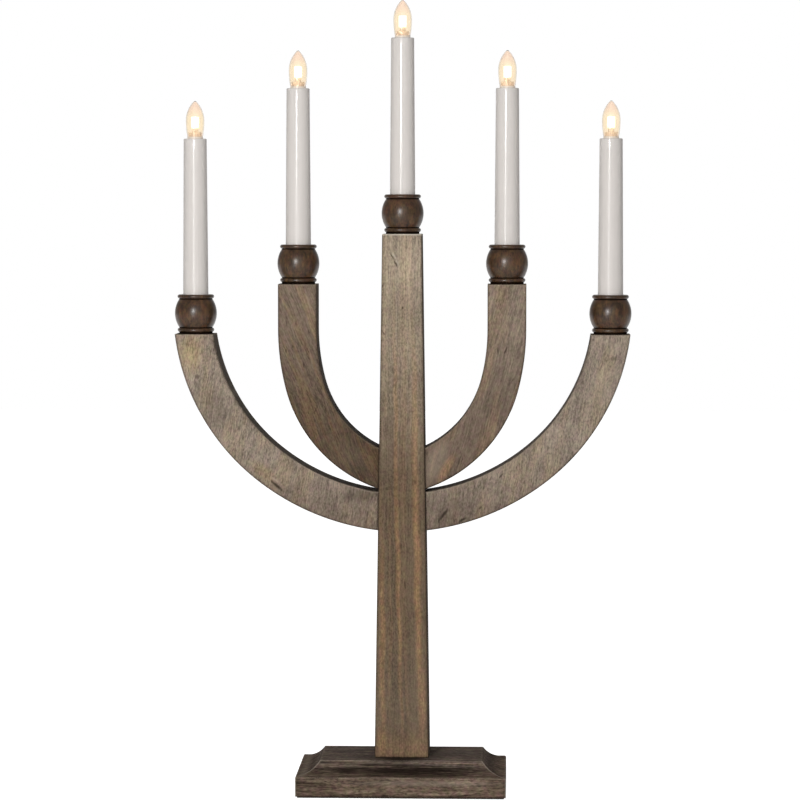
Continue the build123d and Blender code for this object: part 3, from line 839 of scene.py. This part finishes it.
# Turned beech under a walnut stain and satin lacquer: near black in the creases, a soft spot of light on the ball.
CUP_WOOD = StainedWood(
    "lacquered beech of the cups", lower="483321", upper="483321", lower_warm="60422A", upper_warm="60422A",
    dark="180F09", wear_and_highlight="5C4B3E", patch_size=6.0, patch_depth=0.3, bands=Figure(3.2, 30.0, 0.14),
    flecks=Figure(1.4, 3.0, 0.2), fibres=Figure(0.9, 9.0, 0.12, 3.0), streaks=Figure(3.4, 14.0, 0.5, 3.0),
    tint_shift=0.014, edge_pale=0.2, roughness=0.6, gloss=0.04, lacquer=0.8,
)
# Nearly black and dull in the cups' creases and on their feet: pooled stain, darkened further as painted shade.
CREASE_WOOD = StainedWood(
    "pooled stain in the creases", lower="20150D", upper="20150D", lower_warm="2C1D12", upper_warm="2C1D12",
    dark="100A06", wear_and_highlight="3A2A1E", bands=Figure(3.2, 30.0, 0.14), flecks=Figure(1.4, 3.0, 0.2),
    fibres=Figure(0.9, 9.0, 0.12, 3.0), edge_pale=0.1, gloss=0.02,
)
# Bare beech dowels, pale and plain.
DOWEL_WOOD = StainedWood(
    "beech of the dowels", lower="C9A97F", upper="C9A97F", lower_warm="B98F60", upper_warm="B98F60", dark="8A6A48",
    wear_and_highlight="D8C09C", grain=Grain.LEVEL,
)
# Glossy moulded ABS: off white, with a sharp streak of the lamp down its length.
SLEEVE_PLASTIC = MouldedPlastic("moulded ABS of the sleeves", "DFD9D4", "DBD5D0", roughness=0.14, gloss=0.4)
# The collar is the same plastic in cream, with a faint painted glow for the light of the block above that shines
# through it.
COLLAR_PLASTIC = MouldedPlastic("moulded ABS of the collars", "ECE0D2", "E8D9C8", roughness=0.4, glow=0.12)
# Black phenolic mouldings, with the dull skin that comes of the press.
HOLDER_PLASTIC = MouldedPlastic("phenolic of the lampholders", "2B2624", "35302D", roughness=0.45)
# Dark nylon with a satin skin.
BUSH_PLASTIC = MouldedPlastic("nylon of the bush and block", "4A413A", "544A42", roughness=0.4)
# Cream PVC with the fine lines of the die that it was drawn through.
WIRE_PLASTIC = MouldedPlastic("PVC of the leads", "E4DED4", "D8D0C4", roughness=0.4, line_width=0.6)
# Warm yellow metal, browned in patches.
BRASS = SpunMetal("rolled brass", "C9A660", "9A7640")
# Grey metals, duller than the brass.
TIP_METAL = SpunMetal("tinned contact metal", "B9B6B0", "8E8B86", roughness=0.35)
SCREW_STEEL = SpunMetal("zinc plated steel", "A9AAA8", "8A8A88", roughness=0.35)
# A dark, soft sheet with no shine.
FELT = PressedFelt("pressed felt", "3B342E", "4C443B")
# Clear and warm, pinker at the nose, with a duller rim where the eye looks along the wall, and a painted glow at the
# belly.
ENVELOPE = ClearEnvelope(
    "clear acrylic of the envelopes", foot="FCEEDE", belly="F7EDDC", nose="FFF0E3", rim="E4D6C4", foot_height=157,
    belly_low=163, belly_high=171, nose_height=181, glow="FFF2D0", strength=0.045,
)
# The one part of the bulb that shines white.
CORE = GlowingCore(
    "frosted light block", heart="FFFDF8", warm="FFE9C8", strength=1.15, foot_height=162, heart_height=166
)


def arc(start: Vector, end: Vector, heading: Vector, steps: int) -> Profile:
    """Draws the arc that leaves a point in a given direction and ends at another.

    Args:
        start: where it starts, as radius and height.
        end: where it ends.
        heading: its direction at the start.
        steps: how many points follow the start.

    Returns:
        The points from the start to the end.
    """
    chord = end - start
    side = Vector((-heading.y, heading.x))
    turn = 2 * math.atan2(heading.x * chord.y - heading.y * chord.x, heading.dot(chord))
    centre = start + side * (chord.length_squared / (2 * chord.dot(side)))
    spokes = [Matrix.Rotation(turn * i / steps, 2) @ (start - centre) for i in range(steps + 1)]
    return [tuple(centre + spoke) for spoke in spokes]


def swell(inner: float, outer: float, bottom: float, top: float, steps: int) -> Profile:
    """Draws a bead: an arc that swells from one radius to another and back.

    Args:
        inner: the radius at both ends.
        outer: the radius halfway.
        bottom: the height where it starts.
        top: the height where it ends.
        steps: how many points each half has.

    Returns:
        The points from the bottom to the top.
    """
    widest = Vector((outer, (bottom + top) / 2))
    lower = arc(widest, Vector((inner, bottom)), Vector((0, -1)), steps)
    upper = arc(widest, Vector((inner, top)), Vector((0, 1)), steps)
    return lower[::-1] + upper[1:]


def run(start: tuple[float, float], end: tuple[float, float], steps: int) -> Profile:
    """Divides a straight line of a profile into even steps.

    Args:
        start: where it starts, as radius and height.
        end: where it ends.
        steps: how many points follow the start.

    Returns:
        The points from the start to the end.
    """
    return [tuple(a + (b - a) * i / steps for a, b in zip(start, end)) for i in range(steps + 1)]


def rounded(
    corner: tuple[float, float], before: tuple[float, float], after: tuple[float, float], cut: float, steps: int = 5
) -> Profile:
    """Rounds a corner of a profile.

    Args:
        corner: the corner, as radius and height.
        before: a point on the line that comes in.
        after: a point on the line that goes out.
        cut: how far from the corner the rounding starts and ends.
        steps: how many points follow its start.

    Returns:
        The points of the rounding.
    """
    tip = Vector(corner)
    into = (tip - Vector(before)).normalized()
    out = (Vector(after) - tip).normalized()
    return arc(tip - into * cut, tip + out * cut, into, steps)


@dataclass
class Turning:
    """A mesh turned about an upright axis from a closed profile of radius and height, in place of a CAD node."""

    node: str
    profile: Profile
    finishes: tuple[Finish, ...]
    segments: int = 96
    wave: Optional[Callable[[float, float, float], float]] = None
    part_faces: Callable[[float, float], int] = field(default=lambda radius, height: 0)

    def mesh(self) -> bpy.types.Mesh:
        """Turns the mesh, and lays it out flat along the turn and along the profile.

        Returns:
            The mesh, smooth but for its sharp corners, with the finishes by the numbers that part_faces gives.
        """
        vertices, rings = [], []
        for radius, height in self.profile:
            if radius < NOTHING:
                rings.append([len(vertices)] * self.segments)
                vertices.append((0, 0, height * MM))
                continue
            rings.append(list(range(len(vertices), len(vertices) + self.segments)))
            for i in range(self.segments):
                angle = math.tau * i / self.segments
                out = radius if self.wave is None else self.wave(radius, height, angle)
                vertices.append((out * math.cos(angle) * MM, out * math.sin(angle) * MM, height * MM))
        lengths = [0.0]
        loop = self.profile + self.profile[:1]
        for (r0, h0), (r1, h1) in zip(loop, loop[1:]):
            lengths.append(lengths[-1] + math.hypot(r1 - r0, h1 - h0))
        faces, coordinates, numbers = [], [], []
        for k, ring in enumerate(rings):
            above = rings[(k + 1) % len(rings)]
            if ring[0] == ring[1] and above[0] == above[1]:
                continue
            (r0, h0), (r1, h1) = loop[k], loop[k + 1]
            for i in range(self.segments):
                j = (i + 1) % self.segments
                corners = [(ring[i], i, k), (ring[j], i + 1, k), (above[j], i + 1, k + 1), (above[i], i, k + 1)]
                single = [c for n, c in enumerate(corners) if c[0] not in [d[0] for d in corners[:n]]]
                faces.append([c[0] for c in single])
                coordinates += [(c[1] / self.segments, lengths[c[2]] / lengths[-1]) for c in single]
                numbers.append(self.part_faces((r0 + r1) / 2, (h0 + h1) / 2))
        mesh = bpy.data.meshes.new(f"turned_{self.node}")
        mesh.from_pydata(vertices, [], faces)
        layer = mesh.uv_layers.new(name="UVMap")
        for loop_uv, place in zip(layer.data, coordinates):
            loop_uv.uv = place
        for finish in self.finishes:
            mesh.materials.append(finished(finish))
        mesh.polygons.foreach_set("material_index", numbers)
        mesh.shade_smooth()
        mesh.set_sharp_from_angle(angle=math.radians(SHARP_ANGLE))
        mesh.update()
        return mesh

    def build(self, foot: Vector, body: str, slot: str) -> None:
        """Stands the turned piece in its place.

        Args:
            foot: where the profile's zero stands, in metres.
            body: the body that the piece rides on.
            slot: a material slot's name, which is not used.
        """
        mesh = self.mesh()
        piece = bpy.data.objects.new(mesh.name, mesh)
        piece.location = foot
        bpy.context.scene.collection.objects.link(piece)
        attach(piece, body)
        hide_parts(self.node)
        log.info("%s: %d faces", piece.name, len(mesh.polygons))


def dress(node: str, finish: Finish) -> None:
    """Gives a CAD node its finish.

    Args:
        node: the node's name.
        finish: its finish.
    """
    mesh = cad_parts[node].data
    mesh.materials.clear()
    mesh.materials.append(finished(finish))
    log.info("%s: %s", node, finish.name)


@dataclass
class Plinth:
    """The moulded plinth with its felt, its bush and the fittings inside it."""

    pieces: dict[str, Finish] = field(
        default_factory=lambda: {
            "base_plinth": PLINTH_WOOD,
            "base_felt": FELT,
            "cord_bush": BUSH_PLASTIC,
            "terminal_block": BUSH_PLASTIC,
            "stem_screws": SCREW_STEEL,
        }
    )

    def build(self) -> None:
        """Dresses the plinth's CAD nodes."""
        for node, finish in self.pieces.items():
            dress(node, finish)


@dataclass
class Woodwork:
    """The stem and the four arms, with the strips that close their grooves and the dowels between them."""

    arms: dict[str, Finish] = field(
        default_factory=lambda: {
            "outer_left": OUTER_ARM_WOOD,
            "inner_left": INNER_LEFT_WOOD,
            "inner_right": INNER_RIGHT_WOOD,
            "outer_right": OUTER_ARM_WOOD,
        }
    )

    def build(self) -> None:
        """Dresses the stem's and the arms' CAD nodes."""
        dress("stem", STEM_WOOD)
        dress("stem_strip", STEM_WOOD)
        dress("arm_dowels", DOWEL_WOOD)
        for arm, wood in self.arms.items():
            dress(f"arm_{arm}", wood)
            dress(f"arm_strip_{arm}", wood)


@dataclass
class Candle:
    """One candle below its bulb: the turned cup, the sleeve, the lampholder and its lead."""

    name: str
    cup_height: float = 31.3
    foot_radius: float = 13.3
    foot_height: float = 1.4
    foot_round: float = 0.25
    bead_radius: float = 14.6
    bead_height: float = 3.3
    bead_steps: int = 8
    neck_radius: float = 13.0
    ball_radius: float = 16.7
    ball_steps: int = 18
    cup_round: float = 0.35
    spigot_radius: float = 7.0
    spigot_length: float = 12.0
    spigot_steps: int = 4
    bore_radius: float = 5.0
    seat_radius: float = 10.35
    seat_height: float = 19.1
    seat_steps: int = 2
    crease_depth: float = 0.5
    sleeve_top: float = 155.1
    sleeve_bottom_radius: float = 10.2
    sleeve_top_radius: float = 9.2
    sleeve_wall: float = 1.5
    sleeve_cap: float = 1.8
    sleeve_round: float = 0.7
    sleeve_steps: int = 16
    inside_steps: int = 8
    hole_radius: float = 6.55
    hole_round: float = 0.3

    def foot(self) -> Vector:
        """Where the foot of the cup stands, in metres."""
        low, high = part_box(f"cup_{self.name}")
        return Vector(((low.x + high.x) / 2, 0, high.z - self.cup_height * MM))

    def cup_profile(self) -> Profile:
        """Gives the cup's section.

        Returns:
            The closed profile, from the spigot up the outside and down the bore.
        """
        ball_bottom = self.foot_height + self.bead_height
        ball_top = self.cup_height - self.bead_height
        spigot = (self.spigot_radius, 0.0)
        foot_low, foot_high = (self.foot_radius, 0.0), (self.foot_radius, self.foot_height)
        mouth, seat = (self.seat_radius, self.cup_height), (self.seat_radius, self.seat_height)
        profile = run((self.spigot_radius, -self.spigot_length), spigot, self.spigot_steps)
        profile += rounded(foot_low, spigot, foot_high, self.cup_round)
        profile += rounded(foot_high, foot_low, (self.neck_radius, self.foot_height), self.foot_round)
        profile += swell(self.neck_radius, self.bead_radius, self.foot_height, ball_bottom, self.bead_steps)
        profile += swell(self.neck_radius, self.ball_radius, ball_bottom, ball_top, self.ball_steps)[1:]
        profile += swell(self.neck_radius, self.bead_radius, ball_top, self.cup_height, self.bead_steps)[1:]
        profile += rounded(mouth, (self.neck_radius, self.cup_height), seat, self.cup_round)
        profile += run(seat, (self.bore_radius, self.seat_height), self.seat_steps)
        return profile + [(self.bore_radius, -self.spigot_length)]

    def creased(self, radius: float, height: float) -> int:
        """Tells the faces in the cup's creases and on its foot, where the stain pools and painted shade goes, from the
        rest.

        Args:
            radius: the radius at the middle of a face.
            height: the height there.

        Returns:
            1 in a crease or on the foot, and 0 elsewhere.
        """
        return int(radius < self.neck_radius + self.crease_depth and height < self.cup_height - self.crease_depth)

    def sleeve_profile(self) -> Profile:
        """Gives the sleeve's section.

        Returns:
            The closed profile, from the bottom up the outside, over the top and down the inside.
        """
        cap_bottom = self.sleeve_top - self.sleeve_cap
        bottom, top = (self.sleeve_bottom_radius, self.seat_height), (self.sleeve_top_radius, self.sleeve_top)
        hole_top, hole_bottom = (self.hole_radius, self.sleeve_top), (self.hole_radius, cap_bottom)
        inside_top = (self.sleeve_top_radius - self.sleeve_wall, cap_bottom)
        inside_bottom = (self.sleeve_bottom_radius - self.sleeve_wall, self.seat_height)
        rim = rounded(top, bottom, hole_top, self.sleeve_round)
        profile = run(bottom, rim[0], self.sleeve_steps) + rim[1:]
        profile += rounded(hole_top, top, hole_bottom, self.hole_round) + [hole_bottom]
        return profile + run(inside_top, inside_bottom, self.inside_steps)

    def build(self) -> None:
        """Turns the cup and the sleeve, and dresses the fittings inside them."""
        foot = self.foot()
        cup = Turning(f"cup_{self.name}", self.cup_profile(), (CUP_WOOD, CREASE_WOOD), part_faces=self.creased)
        sleeve = Turning(f"sleeve_{self.name}", self.sleeve_profile(), (SLEEVE_PLASTIC,))
        cup.build(foot, BODY, "cup_wood")
        sleeve.build(foot, BODY, "sleeve_plastic")
        dress(f"lampholder_{self.name}", HOLDER_PLASTIC)
        dress(f"lead_{self.name}", WIRE_PLASTIC)


@dataclass
class Bulb:
    """One screw-in bulb: rolled cap, collar with the light block, clear pointed envelope. Heights as the candle's."""

    name: str
    segments: int = 72
    cap_bottom: float = 144.4
    cap_top: float = 153.6
    cap_radius: float = 4.76
    cap_nose_radius: float = 3.9
    cap_bend: float = 0.8
    bend_steps: int = 5
    thread_pitch: float = 1.814
    thread_depth: float = 0.42
    thread_start: float = 0.9
    thread_end: float = 0.8
    thread_fade: float = 0.8
    rows_per_turn: int = 10
    collar_radius: float = 6.2
    collar_top: float = 156.7
    collar_round: float = 0.3
    plug_radius: float = 5.2
    plug_top: float = 160.1
    plug_round: float = 0.5
    post_radius: float = 2.4
    post_steps: int = 2
    light_bottom: float = 163.2
    light_top: float = 172.4
    light_radius: float = 3.1
    light_bottom_round: float = 1.0
    light_top_round: float = 0.5
    belly_radius: float = 7.35
    belly_height: float = 169.4
    tip_radius: float = 1.2
    tip_height: float = 185.0
    wall: float = 0.8
    lower_steps: int = 10
    upper_steps: int = 14
    tip_steps: int = 4

    def thread(self, radius: float, height: float, angle: float) -> float:
        """Rolls the thread into the cap's wall.

        Args:
            radius: the wall's radius.
            height: the height of the point.
            angle: its angle about the axis.

        Returns:
            The radius with the thread in it.
        """
        if radius < self.cap_radius - NOTHING:
            return radius
        from_ends = min(height - self.cap_bottom - self.thread_start, self.cap_top - self.thread_end - height)
        share = min(1.0, max(0.0, from_ends / self.thread_fade))
        turns = height / self.thread_pitch - angle / math.tau
        return radius - self.thread_depth * share * (1 - math.cos(math.tau * turns)) / 2

    def lit(self, radius: float, height: float) -> int:
        """Tells the faces of the light block, which are 1, from those below it, which are 0."""
        return int(height > self.light_bottom - NOTHING)

    def cap_profile(self) -> Profile:
        """Gives the cap's section.

        Returns:
            The closed profile, from the axis below, up the wall and back to the axis above.
        """
        shoulder = (self.cap_radius, self.cap_bottom + self.cap_bend)
        rows = math.ceil((self.cap_top - shoulder[1]) / self.thread_pitch * self.rows_per_turn)
        nose = Vector((self.cap_nose_radius, self.cap_bottom))
        profile = [(0.0, self.cap_bottom)] + arc(nose, Vector(shoulder), Vector((1, 0)), self.bend_steps)[:-1]
        return profile + run(shoulder, (self.cap_radius, self.cap_top), rows) + [(0.0, self.cap_top)]

    def collar_profile(self) -> Profile:
        """Gives the section of the collar, its plug, the post and the light block.

        Returns:
            The closed profile, from the axis below, up the outside and back to the axis on top of the block.
        """
        low, high = (self.collar_radius, self.cap_top), (self.collar_radius, self.collar_top)
        ledge, plug = (self.plug_radius, self.collar_top), (self.plug_radius, self.plug_top)
        post_low, post_high = (self.post_radius, self.plug_top), (self.post_radius, self.light_bottom)
        block_low, block_high = (self.light_radius, self.light_bottom), (self.light_radius, self.light_top)
        below, above = (0.0, self.cap_top), (0.0, self.light_top)
        profile = [below] + rounded(low, below, high, self.collar_round)
        profile += rounded(high, low, ledge, self.collar_round) + [ledge]
        profile += rounded(plug, ledge, post_low, self.plug_round)
        profile += run(post_low, post_high, self.post_steps)
        profile += rounded(block_low, post_high, block_high, self.light_bottom_round)
        return profile + rounded(block_high, block_low, above, self.light_top_round) + [above]

    def envelope_profile(self) -> Profile:
        """Gives the section of the envelope's wall.

        Returns:
            The closed profile, up the outside to the tip and down the inside.
        """
        sides = []
        for inwards in (0.0, self.wall):
            foot = Vector((self.collar_radius - inwards, self.collar_top))
            belly = Vector((self.belly_radius - inwards, self.belly_height))
            nose = Vector((self.tip_radius, self.tip_height - inwards - self.tip_radius / 2))
            tip = Vector((0.0, self.tip_height - inwards))
            lower = arc(belly, foot, Vector((0, -1)), self.lower_steps)[::-1]
            upper = arc(belly, nose, Vector((0, 1)), self.upper_steps)
            point = arc(tip, nose, Vector((1, 0)), self.tip_steps)[::-1]
            sides.append(lower + upper[1:] + point[1:])
        return sides[0] + sides[1][::-1]

    def build(self, foot: Vector) -> None:
        """Turns the bulb's pieces, and dresses its contact tip.

        Args:
            foot: the foot of the candle's cup, in metres.
        """
        body = f"bulb_{self.name}"
        cap, collar, envelope = (f"bulb_{kind}_{self.name}" for kind in ("cap", "collar", "envelope"))
        Turning(cap, self.cap_profile(), (BRASS,), self.segments, self.thread).build(foot, body, "brass")
        Turning(
            collar, self.collar_profile(), (COLLAR_PLASTIC, CORE), self.segments, part_faces=self.lit
        ).build(foot, body, "warm_light")
        Turning(envelope, self.envelope_profile(), (ENVELOPE,), self.segments).build(foot, body, "clear_envelope")
        dress(f"bulb_tip_{self.name}", TIP_METAL)


def aimed(data: bpy.types.ID, place: Point, aim: Point) -> bpy.types.Object:
    """Puts a camera or a lamp in the scene.

    Args:
        data: the camera or the lamp.
        place: where it stands, in metres.
        aim: the point that it is turned to.

    Returns:
        The new object.
    """
    item = bpy.data.objects.new(data.name, data)
    item.location = place
    item.rotation_euler = (Vector(aim) - Vector(place)).to_track_quat("-Z", "Y").to_euler()
    bpy.context.scene.collection.objects.link(item)
    return item


@dataclass(frozen=True)
class Softbox:
    """A studio lamp with a flat diffuser, with its sizes in metres."""

    name: str
    place: Point
    aim: Point
    width: float
    height: float
    radiance: float

    def build(self) -> None:
        """Hangs the lamp."""
        lamp = bpy.data.lights.new(self.name, "AREA")
        lamp.shape = "RECTANGLE"
        lamp.size, lamp.size_y = self.width, self.height
        lamp.energy = self.radiance * math.pi * self.width * self.height
        aimed(lamp, self.place, self.aim)


@dataclass
class Studio:
    """The white floor and surround, the lamps and the camera, with their sizes in metres."""

    camera_place: Point = (0.08903, -2.4, 0.46474)
    camera_aim: Point = (-0.0021, 0.0, 0.3119)
    lens: float = 135.64
    sensor: float = 36.0
    clip_end: float = 50.0
    ambient: float = 0.26
    front_glow: float = 0.3
    sky_span: Span = (0.75, 0.97)
    floor_size: float = 9.0
    lamps: tuple[Softbox, ...] = (
        Softbox("front softbox", (0.3, -2.45, 1.05), (0.0, 0.0, 0.33), 2.0, 1.8, 0.7),
        Softbox("key softbox", (-0.43, -2.0, 0.75), (0.0, 0.0, 0.40), 0.16, 0.2, 148.0),
        Softbox("strip softbox", (-0.61, -2.0, 0.45), (0.0, 0.0, 0.45), 0.09, 1.3, 24.0),
    )

    def camera(self) -> None:
        """Sets the camera at the photograph's viewing angle."""
        data = bpy.data.cameras.new("camera")
        data.lens = self.lens
        data.sensor_width = self.sensor
        data.sensor_fit = "HORIZONTAL"
        data.clip_end = self.clip_end
        bpy.context.scene.camera = aimed(data, self.camera_place, self.camera_aim)

    def surround(self) -> None:
        """Makes the world white to the eye, dimmer to reflections of the front, and dim as a light on the object."""
        world = bpy.data.worlds.new("white surround")
        world.use_nodes = True
        bpy.context.scene.world = world
        web = Web(world.node_tree)
        depth = web.axis(web.add("TexCoord", out="Generated"), "Y")
        white = whiteness(web, depth, self.sky_span, self.front_glow)
        level = web.math("MAXIMUM", white, self.ambient)
        web.feed(world.node_tree.nodes["Background"], {"Color": linear("FFFFFF"), "Strength": level})

    def floor(self) -> None:
        """Lays the paper floor."""
        half = self.floor_size / 2
        mesh = bpy.data.meshes.new("floor")
        mesh.from_pydata([(-half, -half, 0), (half, -half, 0), (half, half, 0), (-half, half, 0)], [], [(0, 1, 2, 3)])
        mesh.materials.append(finished(MattPaper("matt white paper", "F2F2F1", "F6F6F5", self.front_glow)))
        floor = bpy.data.objects.new("floor", mesh)
        bpy.context.scene.collection.objects.link(floor)

    def build(self) -> None:
        """Sets up the whole studio."""
        bpy.context.scene.view_settings.view_transform = "Standard"
        self.camera()
        self.surround()
        self.floor()
        for lamp in self.lamps:
            lamp.build()


def main() -> None:
    """Builds the candelabra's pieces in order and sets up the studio."""
    logging.basicConfig(level=logging.INFO, format="%(name)s: %(message)s")
    Plinth().build()
    Woodwork().build()
    for name in CANDLES:
        candle = Candle(name)
        candle.build()
        Bulb(name).build(candle.foot())
    for node in ("lampholder_shells", "lampholder_contacts"):
        dress(node, BRASS)
    Studio().build()


if __name__ == "__main__":
    main()
